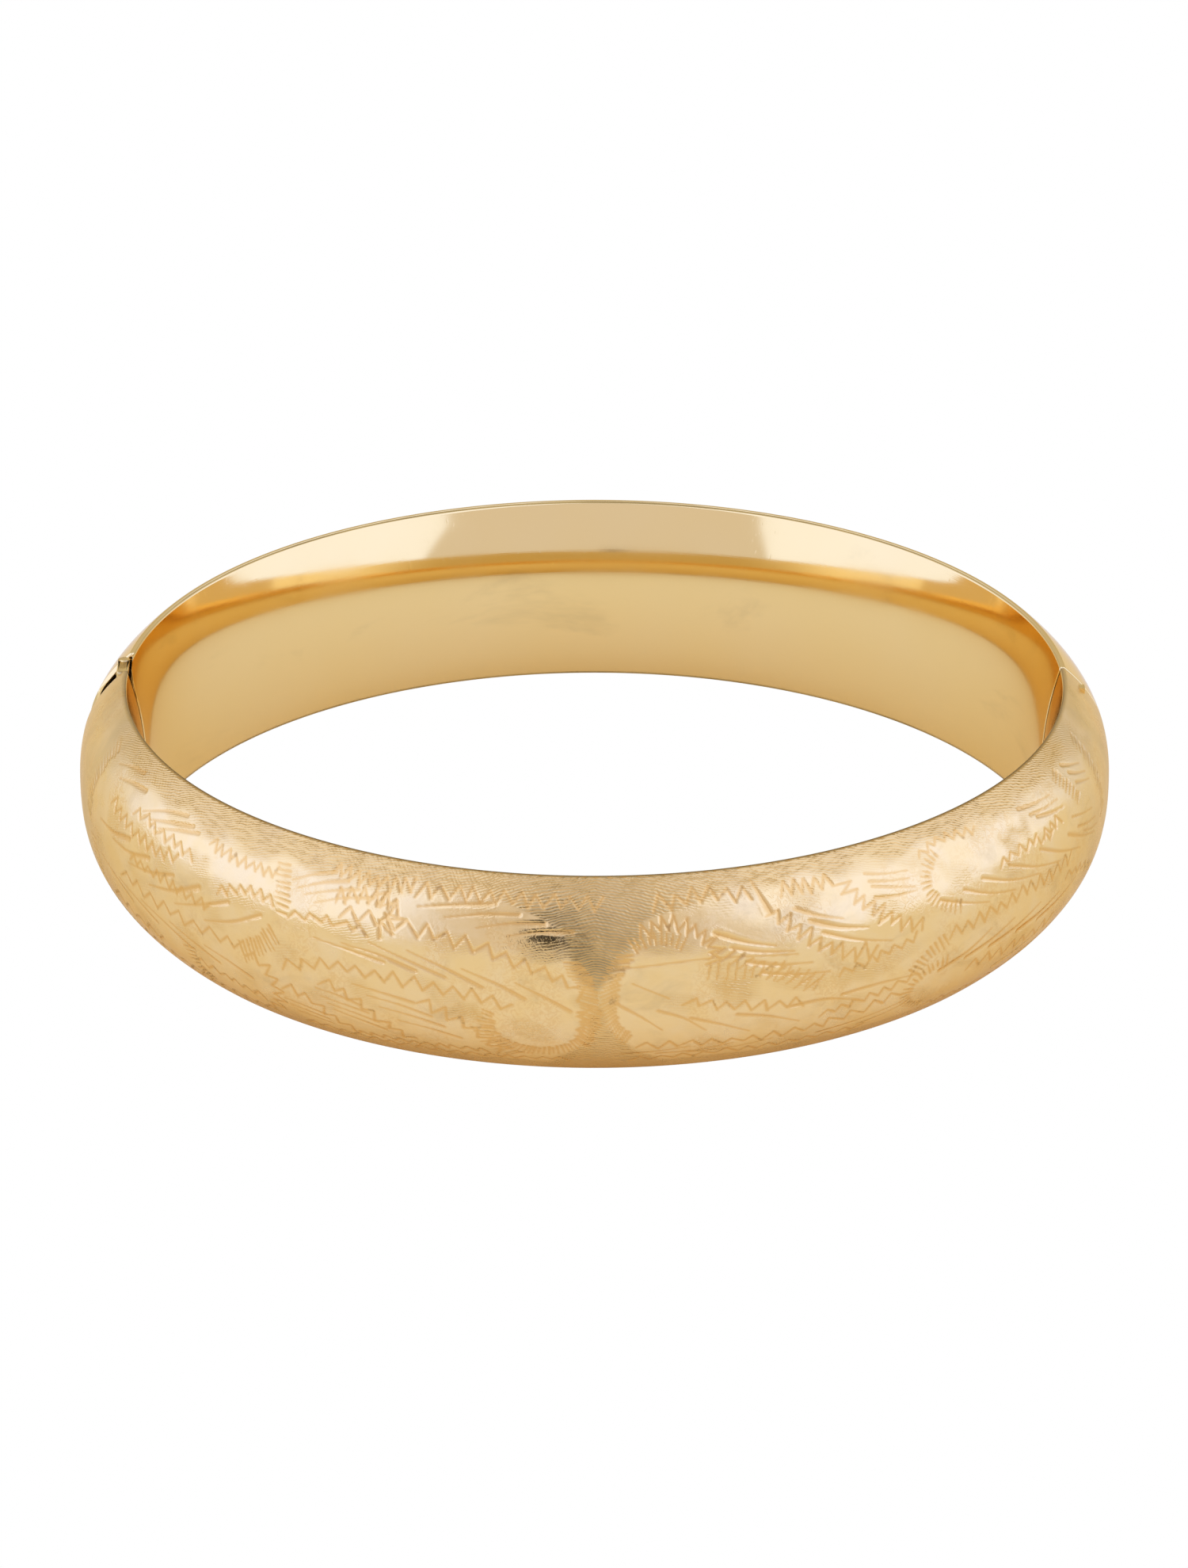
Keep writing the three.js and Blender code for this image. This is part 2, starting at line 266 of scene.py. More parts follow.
class Engraving:
    """Cuts in the front skin, collected as a depth field over the grid of its points."""

    def __init__(self, s, v):
        self.s, self.v = s, np.broadcast_to(v, s.shape)
        self.dig = np.zeros_like(s)
        self.lip = np.zeros_like(s)
        self.cut = np.zeros_like(s)
        self.line = np.zeros_like(s)
        self.hatch = np.zeros_like(s)
        self.rng = np.random.default_rng(7)

    def window(self, low, high):
        """Slices of the grid around a box of (s, v)."""
        s_mid = self.s[:, self.s.shape[1] // 2]
        v_row = self.v[0]
        rows = slice(max(0, np.searchsorted(s_mid, low[0]) - 12), np.searchsorted(s_mid, high[0]) + 12)
        cols = slice(max(0, np.searchsorted(v_row, low[1]) - 1), np.searchsorted(v_row, high[1]) + 1)
        return rows, cols

    def gouge(self, start, end, width, depth, mask, taper=(0.3, 0.9), skew=0.0):
        """One straight pull of the graver: thin where it starts, full width at taper[1] of its length.

        skew moves the bottom of the groove to one side, so that one wall is steep and bright.
        """
        start, end = np.asarray(start, float), np.asarray(end, float)
        reach = width * 1.3
        where = self.window(np.minimum(start, end) - reach, np.maximum(start, end) + reach)
        s, v = self.s[where], self.v[where]
        along = end - start
        length = np.linalg.norm(along)
        along = along / length
        t = (s - start[0]) * along[0] + (v - start[1]) * along[1]
        side = (v - start[1]) * along[0] - (s - start[0]) * along[1]
        share = np.clip(t / length, 0, 1)
        swell = np.minimum(share / taper[1], 1.0) if taper[1] > 0 else 1.0
        swell = taper[0] + (1 - taper[0]) * swell
        beyond = np.maximum(np.maximum(-t, t - length), 0)
        half = np.maximum(width / 2 * swell, FINEST)
        bottom = skew * half
        off = np.where(side > bottom, (side - bottom) / (half - bottom), (bottom - side) / (half + bottom))
        off = np.hypot(off, beyond / half)
        shape = np.clip(1 - off, 0, 1)
        dig = depth * swell * shape
        lip = depth * swell * LIP_SHARE * np.exp(-((off - 1.2) / 0.22) ** 2)
        self.dig[where] = np.maximum(self.dig[where], dig)
        self.lip[where] = np.maximum(self.lip[where], lip)
        mask[where] = np.maximum(mask[where], np.clip(shape * 1.5, 0, 1))

    def stroke(self, tail, head, width=0.42, depth=0.075, bend=0.0):
        """A long bright cut from a thin tail to a broad head, slightly bowed."""
        tail, head = np.asarray(tail, float), np.asarray(head, float)
        along = head - tail
        across = np.array([-along[1], along[0]])
        path = curve_through([tail, (tail + head) / 2 + across * bend, head], 0.5)
        run = arc_table(path) / arc_table(path)[-1]
        for start, end, low, high in zip(path, path[1:], run, run[1:]):
            before, size = (THIN_END + (1 - THIN_END) * min(1.0, share / HEAD_AT) for share in (low, high))
            self.gouge(start, end, width * size, depth * size, self.cut, (before / size, 1.0), 0.35)

    def fan(self, count, *keys, width=0.42, depth=0.075, bend=0.03):
        """Strokes spread evenly between two or three key strokes, each (tail, head)."""
        keys = np.asarray(keys, float)
        place = np.linspace(0, 1, len(keys))
        for share in np.linspace(0, 1, count):
            ends = [[np.interp(share, place, keys[:, i, j]) for j in range(2)] for i in range(2)]
            jitter = self.rng.normal(0, 0.07, (2, 2))
            size = self.rng.uniform(0.85, 1.15)
            self.stroke(ends[0] + jitter[0], ends[1] + jitter[1], width * size, depth * size,
                        bend * self.rng.uniform(0.4, 1.6))

    def zigzag(self, *points, period=1.1, height=0.8, width=0.27, depth=0.048):
        """A wriggled line of short pulls that swing from side to side of a smooth path."""
        path = curve_through(points)
        run = arc_table(path)
        count = max(2, int(round(run[-1] / period * 2)))
        at = np.linspace(0, run[-1], count + 1)
        at[1:-1] += self.rng.normal(0, period * 0.07, count - 1)
        centre = np.stack([np.interp(at, run, path[:, 0]), np.interp(at, run, path[:, 1])], 1)
        slope = np.gradient(centre, axis=0)
        across = np.stack([-slope[:, 1], slope[:, 0]], 1) / np.linalg.norm(slope, axis=1)[:, None]
        side = np.where(np.arange(count + 1) % 2, 1, -1)
        swing = height / 2 * side * self.rng.uniform(0.65, 1.3, count + 1)
        turns = centre + across * swing[:, None]
        for start, end in zip(turns, turns[1:]):
            self.gouge(start, end, width * self.rng.uniform(0.85, 1.15), depth * self.rng.uniform(0.7, 1.2),
                       self.line, (0.7, 0.5), 0.3)

    def comb(self, *points, pitch=0.35, length=0.7, lean=0.0, width=0.27, depth=0.065):
        """A row of short parallel pulls across a path; lean tips them along it."""
        path = np.asarray(points[0]) if len(points) == 1 else curve_through(points)
        run = arc_table(path)
        at = np.arange(0, run[-1], pitch)
        at = at + self.rng.normal(0, pitch * 0.08, len(at))
        centre = np.stack([np.interp(at, run, path[:, 0]), np.interp(at, run, path[:, 1])], 1)
        slope = np.stack([np.interp(at + 0.1, run, path[:, k]) - np.interp(at - 0.1, run, path[:, k])
                          for k in range(2)], 1)
        slope /= np.linalg.norm(slope, axis=1)[:, None].clip(1e-6)
        across = np.stack([-slope[:, 1], slope[:, 0]], 1) + slope * lean
        for middle, way in zip(centre, across):
            half = length / 2 * self.rng.uniform(0.75, 1.25)
            self.gouge(middle - way * half, middle + way * half, width, depth * self.rng.uniform(0.6, 1.2),
                       self.line, (0.4, 0.7), 0.3)

    def shade(self, amount):
        """Adds an area of fine hatching, given as a 0 to 1 field over the grid."""
        self.hatch = np.maximum(self.hatch, amount)

    def patch(self, low, high, soft=0.9):
        """A box-shaped area with soft, slightly uneven edges."""
        s = self.s + 0.45 * waviness(self.s, self.v, 1.7, 3)
        v = self.v + 0.4 * waviness(self.s, self.v, 1.3, 4)
        inside = lambda x, a, b: np.clip((x - a) / soft, 0, 1) * np.clip((b - x) / soft, 0, 1)
        return inside(s, low[0], high[0]) * inside(v, low[1], high[1])

    def height(self):
        return self.lip * (self.dig < 0.004) - self.dig


def leaves_left(e):
    """Sprays of leaves left of the middle: outlines, plain round ends, veins as bright cuts."""
    e.comb((-36.2, 6.0), (-36.7, 3.3), (-37.0, 0.5), pitch=0.33, length=0.8, lean=0.5)
    e.fan(2, ((-34.9, 5.4), (-32.0, 6.1)), ((-33.9, 4.7), (-31.0, 5.45)))
    e.fan(3, ((-30.25, 4.4), (-26.5, 5.7)), ((-28.4, 4.0), (-25.1, 5.1)))
    e.zigzag((-33.6, 3.4), (-30.0, 2.8), (-26.0, 3.0), period=0.8, height=0.7)
    e.fan(6, ((-34.6, 1.7), (-30.7, 2.05)), ((-29.6, 0.45), (-25.0, 1.95)), ((-23.4, 0.05), (-19.4, 1.93)),
          width=0.5, depth=0.095, bend=-0.04)
    e.zigzag((-31.6, -0.4), (-26.0, -0.6), (-20.5, -0.5), period=1.3, height=0.7)
    e.comb((-20.6, -0.9), (-19.2, 0.1), (-18.2, 1.3), pitch=0.3, length=1.1, lean=0.3)
    e.fan(5, ((-34.5, -0.8), (-30.5, -2.0)), ((-29.25, -1.14), (-25.1, -2.5)),
          ((-23.6, -1.6), (-20.2, -2.7)), width=0.3, depth=0.05)
    e.zigzag((-33.2, -2.7), (-30.5, -3.2), (-27.75, -3.45), period=1.2, height=0.7)
    e.comb((-25.1, -2.6), (-24.9, -3.9), (-24.2, -5.0), pitch=0.32, length=0.8)
    e.zigzag((-20.3, -0.9), (-19.0, -1.6), (-18.5, -3.4), (-18.9, -4.7), (-19.7, -5.1),
             period=0.9, height=0.7)
    e.zigzag((-26.5, -5.4), (-19.5, -5.7), period=0.9, height=0.5)
    e.comb((-18.6, 5.4), (-18.2, 4.0), (-18.0, 2.5), pitch=0.36, length=0.8, lean=0.2)
    e.fan(4, ((-17.75, 4.74), (-15.25, 5.8)), ((-16.1, 3.7), (-12.6, 4.8)), width=0.36)
    e.zigzag((-15.4, 6.1), (-12.4, 5.7), (-10.3, 6.0), period=0.62, height=0.8)
    e.zigzag((-14.9, 4.5), (-13.0, 4.9), (-10.9, 4.6), period=0.7, height=0.9)
    e.zigzag((-10.2, 5.8), (-5.0, 5.85), (0.5, 5.7), period=0.92, height=0.85)
    e.zigzag((-14.4, 3.6), (-9.0, 3.3), (-4.4, 2.2), (-1.0, 0.6), (-0.5, -1.4), (-1.0, -3.4),
             period=1.15, height=0.75)
    e.fan(4, ((-10.1, 4.7), (-5.8, 5.4)), ((-4.75, 3.6), (-1.1, 4.0)), width=0.4)
    e.fan(6, ((-16.0, 1.5), (-11.6, 1.0)), ((-11.6, 2.3), (-7.3, 0.6)), ((-4.25, 0.9), (-1.4, -1.0)),
          width=0.38)
    e.zigzag((-18.0, -0.9), (-15.0, 0.1), (-9.0, 0.0), (-6.0, -0.4), (-4.6, -1.0), period=1.1, height=0.7)
    e.comb(ellipse((-3.1, -1.95), (2.8, 2.5), 165, 385), pitch=0.27, length=0.7, lean=0.25)
    e.zigzag((-15.5, -1.1), (-13.8, -1.8), (-12.3, -3.0), (-10.4, -4.8), period=1.0, height=0.65)
    e.fan(4, ((-15.75, -1.8), (-13.2, -2.3)), ((-14.9, -3.2), (-11.75, -4.1)), width=0.3, depth=0.055)
    e.zigzag((-18.1, -2.4), (-16.6, -2.8), (-15.5, -3.7), (-13.9, -5.1), period=1.0, height=0.65)
    e.fan(3, ((-18.2, -3.45), (-15.7, -4.0)), ((-17.6, -4.5), (-15.4, -5.0)), width=0.28, depth=0.05)
    e.fan(4, ((-13.5, -0.76), (-9.9, -1.4)), ((-11.0, -2.9), (-7.4, -3.8)), width=0.34, depth=0.06)
    e.zigzag((-14.0, -5.3), (-10.0, -5.1), (-6.0, -4.9), period=0.8, height=0.5)
    e.comb((-6.2, -2.6), (-5.7, -3.8), (-4.4, -5.1), pitch=0.3, length=0.9, lean=0.3)
    e.zigzag((-12.4, 5.2), (-11.0, 3.9), (-12.2, 3.0), period=0.75, height=1.1)
    e.zigzag((-17.6, 2.6), (-14.6, 2.9), (-12.6, 2.7), period=1.0, height=0.5)
    e.zigzag((-9.6, -1.0), (-7.6, -2.1), (-6.2, -3.4), (-5.2, -5.0), period=1.0, height=0.8)
    e.zigzag((-17.4, -5.6), (-12.0, -5.8), (-6.0, -5.6), (-1.5, -5.4), period=1.0, height=0.45)
    e.comb((-1.2, 2.2), (-0.4, 0.4), (-0.2, -1.8), (-0.8, -3.6), pitch=0.24, length=0.9, lean=0.6)
    e.zigzag((-31.0, 4.1), (-27.5, 3.9), (-24.8, 3.6), period=0.9, height=0.6)
    e.zigzag((-30.6, -4.4), (-27.2, -4.7), (-24.4, -5.2), period=0.9, height=0.5)
    e.comb((-36.0, -0.4), (-34.4, -3.6), (-31.5, -4.9), pitch=0.4, length=0.8, lean=0.5)
    e.zigzag((-30.4, 1.2), (-26.6, 1.3), (-23.0, 1.1), period=0.8, height=0.6)
    e.zigzag((-24.6, -3.2), (-21.6, -3.9), (-19.8, -4.3), period=0.8, height=0.55)
    e.zigzag((-24.0, 5.0), (-21.0, 4.6), (-18.8, 4.8), period=0.6, height=0.6)
    e.zigzag((-22.6, 2.4), (-20.4, 3.2), (-18.6, 3.0), period=0.7, height=0.5)


def leaves_right(e):
    """The sprays right of the middle."""
    e.comb(ellipse((3.5, 1.0), (2.7, 2.6), 60, 130), pitch=0.33, length=0.75)
    e.comb((6.6, 2.4), (9.0, 1.2), (12.1, -0.6), pitch=0.62, length=0.95, lean=0.6)
    e.zigzag((4.8, -0.4), (8.0, -1.2), (11.6, -1.6), period=1.0, height=0.6)
    e.fan(6, ((3.7, -2.4), (1.3, -0.5)), ((9.8, -3.5), (6.3, -1.9)), ((18.4, -1.6), (13.9, -1.65)),
          width=0.36, bend=-0.05)
    e.zigzag((2.3, -3.8), (8.0, -4.1), (12.5, -4.0), (17.8, -2.9), period=1.2, height=0.65)
    e.fan(3, ((5.25, -4.1), (1.6, -4.7)), ((10.1, -4.45), (5.25, -4.9)), width=0.26, depth=0.045)
    e.fan(2, ((18.0, -3.8), (12.9, -4.9)), ((18.4, -4.1), (15.7, -5.1)), width=0.3, depth=0.05)
    e.zigzag((2.0, -5.5), (8.0, -5.3), (16.0, -5.5), period=1.2, height=0.5)
    e.fan(4, ((10.0, 2.6), (6.6, 3.55)), ((13.1, 0.15), (9.25, 1.0)), width=0.44)
    e.zigzag((3.2, 5.6), (6.0, 5.9), (8.9, 5.75), period=0.95, height=0.85)
    e.stroke((9.0, 6.55), (9.8, 4.4), width=0.5)
    e.zigzag((9.8, 4.5), (11.3, 3.1), (13.6, 1.3), (15.9, 0.7), period=0.76, height=0.9)
    e.zigzag((14.4, 5.5), (15.1, 4.2), (17.0, 2.5), (19.0, 1.5), period=0.7, height=0.9)
    e.fan(3, ((14.1, 3.4), (11.4, 4.4)), ((16.9, 1.2), (12.9, 2.8)), width=0.46)
    e.zigzag((10.6, 5.6), (13.8, 5.6), period=0.62, height=0.85)
    e.fan(4, ((18.6, 4.9), (16.0, 5.55)), ((18.75, 3.6), (16.25, 4.2)), width=0.3)
    e.comb(ellipse((22.3, 3.75), (2.75, 2.05), 125, 260), pitch=0.33, length=0.65)
    e.fan(6, ((23.9, 1.25), (20.6, 2.5)), ((29.25, 1.05), (24.3, 2.9)), ((35.7, 0.2), (31.6, 2.2)),
          width=0.34)
    e.zigzag((20.8, 0.2), (26.0, 0.55), (32.0, 0.4), period=0.88, height=0.8)
    e.comb((18.5, -1.6), (19.3, -0.7), (20.7, 0.0), pitch=0.33, length=0.8)
    e.comb(ellipse((20.75, -3.3), (2.6, 1.8), 90, 250), pitch=0.33, length=0.6)
    e.fan(5, ((23.9, -0.65), (20.1, -2.2)), ((28.5, -1.0), (24.3, -2.0)), ((32.75, -1.45), (28.6, -2.1)),
          width=0.5, depth=0.09, bend=0.04)
    e.zigzag((22.5, -2.8), (26.0, -3.1), (30.5, -3.3), period=1.1, height=0.75)
    e.fan(2, ((29.25, -3.6), (25.25, -4.5)), ((31.5, -4.0), (28.0, -5.0)), width=0.34)
    e.zigzag((20.0, -5.5), (25.0, -5.6), (30.0, -5.4), period=1.0, height=0.5)
    e.fan(3, ((31.25, 5.0), (28.1, 5.4)), ((32.0, 3.7), (29.4, 4.4)), width=0.34)
    e.zigzag((29.2, 3.2), (31.3, 3.4), period=0.7, height=0.6)
    e.comb((32.6, 5.7), (33.3, 4.4), (34.0, 3.2), pitch=0.34, length=0.8)
    e.fan(3, ((35.9, 4.9), (33.9, 5.8)), ((36.1, 3.6), (34.25, 4.3)), width=0.3)
    e.comb((37.0, 6.0), (37.3, 3.3), (37.5, 0.5), pitch=0.36, length=0.7, lean=-0.5)
    e.comb((1.6, 2.6), (0.9, 1.0), (0.9, -1.6), (1.9, -3.4), pitch=0.25, length=0.8, lean=-0.6)
    e.zigzag((2.4, 3.9), (4.4, 4.4), (6.4, 3.2), (6.4, 1.8), period=0.6, height=0.8)
    e.comb((6.2, 1.3), (9.5, 1.0), (12.6, -0.5), pitch=0.5, length=1.1, lean=0.1, width=0.2, depth=0.03)
    e.zigzag((13.6, -0.2), (16.0, 0.3), (18.6, 0.9), period=0.8, height=0.5)
    e.zigzag((12.6, -2.9), (15.4, -2.5), (18.8, -1.7), period=0.9, height=0.5)
    e.zigzag((19.6, 5.6), (21.6, 6.1), (24.2, 5.7), period=0.7, height=0.5)
    e.zigzag((25.0, 3.1), (27.6, 3.3), (30.2, 2.9), period=0.8, height=0.6)
    e.zigzag((31.4, -0.6), (33.6, -1.2), (35.6, -2.2), period=0.8, height=0.5)
    e.fan(3, ((35.4, 1.9), (32.6, 2.8)), ((36.2, 0.4), (33.8, 1.1)), width=0.28)
    e.stroke((11.2, 1.72), (1.7, 1.9), width=0.1, depth=0.02, bend=-0.04)
    e.stroke((2.0, 0.9), (4.0, -0.2), width=0.12, depth=0.02)


def ground(e):
    """The hatched ground: along both rims, down the middle between the leaves, and in small patches."""
    s, v = e.s, e.v
    uneven = 0.15 * waviness(s, v, 2.5, 11)
    fade = np.clip((38.5 - np.abs(s)) / 4, 0, 1)
    edge = np.interp(s, (-38, -30, -20, -8, 0, 8, 14, 38), (5.6, 5.2, 4.9, 5.5, 5.0, 5.5, 5.6, 5.3))
    e.shade(fade * np.clip((v + 2.5 * uneven - edge) / 0.9, 0, 1))
    e.shade(0.35 * fade * np.clip(2.5 * waviness(s, v, 3.1, 12) - 0.6, 0, 1))
    e.shade(0.7 * fade * np.clip((-v + uneven - 5.5) / 0.4, 0, 1))
    column = np.interp(v, (-6.5, -4.3, -2.0, 0.5, 2.6, 4.6, 6.0), (4.0, 2.2, 0.45, 0.55, 1.7, 2.6, 7.0))
    middle = np.interp(v, (-6.0, -3.0, -1.0, 1.0, 3.5), (0.6, 0.45, 0.3, 0.0, 0.4))
    e.shade(np.clip((column - np.abs(s - middle) + 2 * uneven) / 0.6, 0, 1))
    for low, high in (((-8.9, -2.4), (-5.9, -0.6)), ((6.25, -1.2), (9.2, 1.4)), ((24.9, 3.4), (28.5, 5.2)),
                      ((-25.3, 2.9), (-23.3, 4.4)), ((13.0, -1.2), (17.5, 0.3)),
                      ((-24.0, 0.2), (-20.0, 1.0))):
        e.shade(0.8 * e.patch(low, high))


# ---------------------------------------------------------------- camera
ELEVATION = math.radians(27.66)
DISTANCE = 348.5 * MM
target = Vector((0, 0, MID * MM))
camera = bpy.data.objects.new("camera", bpy.data.cameras.new("camera"))
bpy.context.scene.collection.objects.link(camera)
bpy.context.scene.camera = camera
towards = Vector((0, -math.cos(ELEVATION), math.sin(ELEVATION)))
camera.location = target + towards * DISTANCE
camera.rotation_euler = (-towards).to_track_quat("-Z", "Y").to_euler()
camera.data.sensor_width = 36
camera.data.lens = 126.8
camera.data.shift_x, camera.data.shift_y = -0.00035, -0.01086
camera.data.clip_start, camera.data.clip_end = 0.02, 20


# ---------------------------------------------------------------- node helpers
class Nodes:
    """Small helper to write a node tree as code."""

    def __init__(self, owner):
        owner.use_nodes = True
        self.tree = owner.node_tree
        self.tree.nodes.clear()

    def add(self, kind, inputs=None, **settings):
        node = self.tree.nodes.new(kind)
        for key, value in settings.items():
            setattr(node, key, value)
        for key, value in (inputs or {}).items():
            self.set(node, key, value)
        return node

    def set(self, node, key, value):
        socket = node.inputs[key]
        if isinstance(value, bpy.types.NodeSocket):
            self.tree.links.new(value, socket)
        else:
            socket.default_value = value

    def math(self, operation, a, b=0.0, c=0.0):
        node = self.add("ShaderNodeMath", operation=operation)
        for i, value in enumerate((a, b, c)):
            self.set(node, i, value)
        return node.outputs[0]

    def smooth(self, value, low, high, out_low=0.0, out_high=1.0):
        node = self.add("ShaderNodeMapRange", interpolation_type="SMOOTHSTEP", clamp=True)
        for key, v in (("Value", value), ("From Min", low), ("From Max", high),
                       ("To Min", out_low), ("To Max", out_high)):
            self.set(node, key, v)
        return node.outputs["Result"]

    def mix(self, factor, a, b):
        node = self.add("ShaderNodeMix", data_type="RGBA")
        self.set(node, "Factor", factor)
        for key, value in ((6, a), (7, b)):
            if isinstance(value, bpy.types.NodeSocket):
                self.tree.links.new(value, node.inputs[key])
            else:
                node.inputs[key].default_value = (*value, 1)
        return node.outputs[2]

    def noise(self, vector, scale, detail=3.0, roughness=0.5, distortion=0.0):
        node = self.add("ShaderNodeTexNoise", {"Vector": vector, "Scale": scale, "Detail": detail,
                                               "Roughness": roughness, "Distortion": distortion})
        return node.outputs["Fac"]

    def position(self):
        return self.add("ShaderNodeTexCoord").outputs["Object"]

    def stretch(self, vector, scale, rotation=(0, 0, 0)):
        node = self.add("ShaderNodeMapping", {"Vector": vector, "Scale": scale, "Rotation": rotation})
        return node.outputs[0]

    def attribute(self, name, output="Fac"):
        return self.add("ShaderNodeAttribute", attribute_name=name).outputs[output]

    def bump(self, height, distance, strength=1.0, normal=None):
        node = self.add("ShaderNodeBump", {"Height": height, "Distance": distance, "Strength": strength})
        if normal is not None:
            self.set(node, "Normal", normal)
        return node.outputs[0]


# ---------------------------------------------------------------- metals
EDGE_TINT = (0.95, 0.82, 0.58, 1)     # what the metal reflects at a glancing angle
GOLD = (0.95, 0.695, 0.28)
GOLD_PALE = (0.95, 0.715, 0.33)
TARNISH = (0.24, 0.15, 0.07)
# painted shade of the gap between the shells
GAP_SHADE = (0.05, 0.033, 0.018)
ENGRAVED = (0.95, 0.675, 0.28)
ENGRAVED_PALE = (0.95, 0.705, 0.335)
# painted shade and reflection: the deeper orange that light bouncing inside a groove gives
GROOVE_SHADE = (0.82, 0.475, 0.135)
# painted shade of the hatched ground's fine grooves
HATCH_SHADE = (0.70, 0.45, 0.14)
SMEAR = (0.66, 0.45, 0.19)
# painted shade between the two middle sprays
SPRAYS_SHADE = (0.38, 0.28, 0.12)
DULL = (0.70, 0.515, 0.225)
HATCH_PITCH, CROSS_PITCH = 0.17, 0.23   # millimetres between the hatched ground's rows
MICRON = 0.000001


def gold(name, build):
    """A metal material: build(nodes) returns (colour, roughness, normal)."""
    material = bpy.data.materials.new(name)
    nodes = Nodes(material)
    colour, roughness, normal = build(nodes)
    shader = nodes.add("ShaderNodeBsdfPrincipled")
    shader.inputs["Metallic"].default_value = 1.0
    shader.inputs["Specular Tint"].default_value = EDGE_TINT
    nodes.set(shader, "Base Color", colour)
    nodes.set(shader, "Roughness", roughness)
    if normal is not None:
        nodes.set(shader, "Normal", normal)
    output = nodes.add("ShaderNodeOutputMaterial")
    nodes.tree.links.new(shader.outputs[0], output.inputs["Surface"])
    return material


def polished_gold(n):
    place = n.position()
    haze = n.noise(place, 260.0, 4.0)
    scratch = n.noise(n.stretch(place, (300, 300, 9000)), 1.0, 2.0)
    roughness = n.math("MULTIPLY_ADD", n.smooth(haze, 0.4, 0.8), 0.05, 0.05)
    colour = n.mix(n.noise(place, 90.0), GOLD, GOLD_PALE)
    return colour, roughness, n.bump(scratch, 0.6 * MICRON)


def worn(n, place, colour):
    """Finger marks and old tarnish, as faint brown clouds."""
    smear = n.smooth(n.noise(n.stretch(place, (70, 70, 160)), 1.0, 5.0, 0.6, 0.4), 0.60, 0.80, 0.0, 0.22)
    return n.mix(smear, colour, TARNISH)


def liner_gold(n):
    place = n.position()
    haze = n.noise(place, 180.0, 4.0)
    fine = n.noise(n.stretch(place, (220, 220, 16000)), 1.0, 3.0)
    pulls = n.noise(n.stretch(place, (5200, 5200, 170), (0.25, 0.1, 0)), 1.0, 2.0)
    roughness = n.math("MULTIPLY_ADD", n.smooth(haze, 0.35, 0.8), 0.08, 0.07)
    colour = worn(n, place, n.mix(n.noise(place, 110.0, 3.0), GOLD, GOLD_PALE))
    normal = n.bump(fine, 0.6 * MICRON)
    return colour, roughness, n.bump(n.smooth(pulls, 0.62, 0.85), 2 * MICRON, 1.0, normal)


def joint_gold(n):
    place = n.position()
    cloud = n.noise(place, 1500.0, 4.0, 0.6)
    colour = n.mix(n.smooth(cloud, 0.45, 0.75, 0.0, 0.55), GOLD, TARNISH)
    roughness = n.math("MULTIPLY_ADD", cloud, 0.2, 0.18)
    return colour, roughness, n.bump(cloud, 10 * MICRON)


# painted shade: near black for the gap between the shells, with brown tarnish clouds
def gap_shade_gold(n):
    place = n.position()
    cloud = n.noise(place, 900.0, 4.0, 0.6)
    colour = n.mix(n.smooth(cloud, 0.4, 0.7), GAP_SHADE, TARNISH)
    return colour, n.math("MULTIPLY_ADD", cloud, 0.2, 0.4), n.bump(cloud, 20 * MICRON)


def spring_gold(n):
    place = n.position()
    brush = n.noise(n.stretch(place, (600, 600, 9000)), 1.0, 3.0)
    colour = n.mix(n.smooth(n.noise(place, 1200.0, 3.0), 0.4, 0.75, 0.0, 0.5), GOLD, TARNISH)
    return colour, n.math("MULTIPLY_ADD", brush, 0.15, 0.2), n.bump(brush, 3 * MICRON)


def hatch_rows(n, place, layout):
    """Fine wavering rows of hatching and a fainter set across them, as two waves from -1 to 1."""
    along, across, flow = n.add("ShaderNodeSeparateXYZ", {0: layout}).outputs
    jitter = n.math("MULTIPLY_ADD", n.noise(place, 900.0, 2.0), 0.16,
                    n.math("MULTIPLY", n.noise(place, 330.0, 3.0, 0.6), 0.9))
    phase = n.math("ADD", flow, jitter)
    rows = n.math("SINE", n.math("MULTIPLY", phase, 2 * math.pi / HATCH_PITCH))
    crossed = n.math("ADD", n.math("MULTIPLY", along, 0.8), n.math("MULTIPLY", across, 0.6))
    crosses = n.math("SINE", n.math("MULTIPLY", n.math("ADD", crossed, jitter), 2 * math.pi / CROSS_PITCH))
    return rows, crosses


def shade_between_sprays(n, place, along, across, hatch):
    """Painted shade on the hatched ground between the two middle sprays, patchy, from 0 to 1."""
    between = n.math("MULTIPLY", n.smooth(n.math("ABSOLUTE", along), 7.0, 0.5), n.smooth(across, -2.5, 2.0))
    between = n.math("MULTIPLY", between, n.smooth(across, 6.4, 4.6, 0.35, 1.0))
    patchy = n.smooth(n.noise(place, 520.0, 4.0, 0.6), 0.3, 0.7, 0.45, 0.9)
    return n.math("MULTIPLY", n.math("MULTIPLY", between, hatch), patchy)


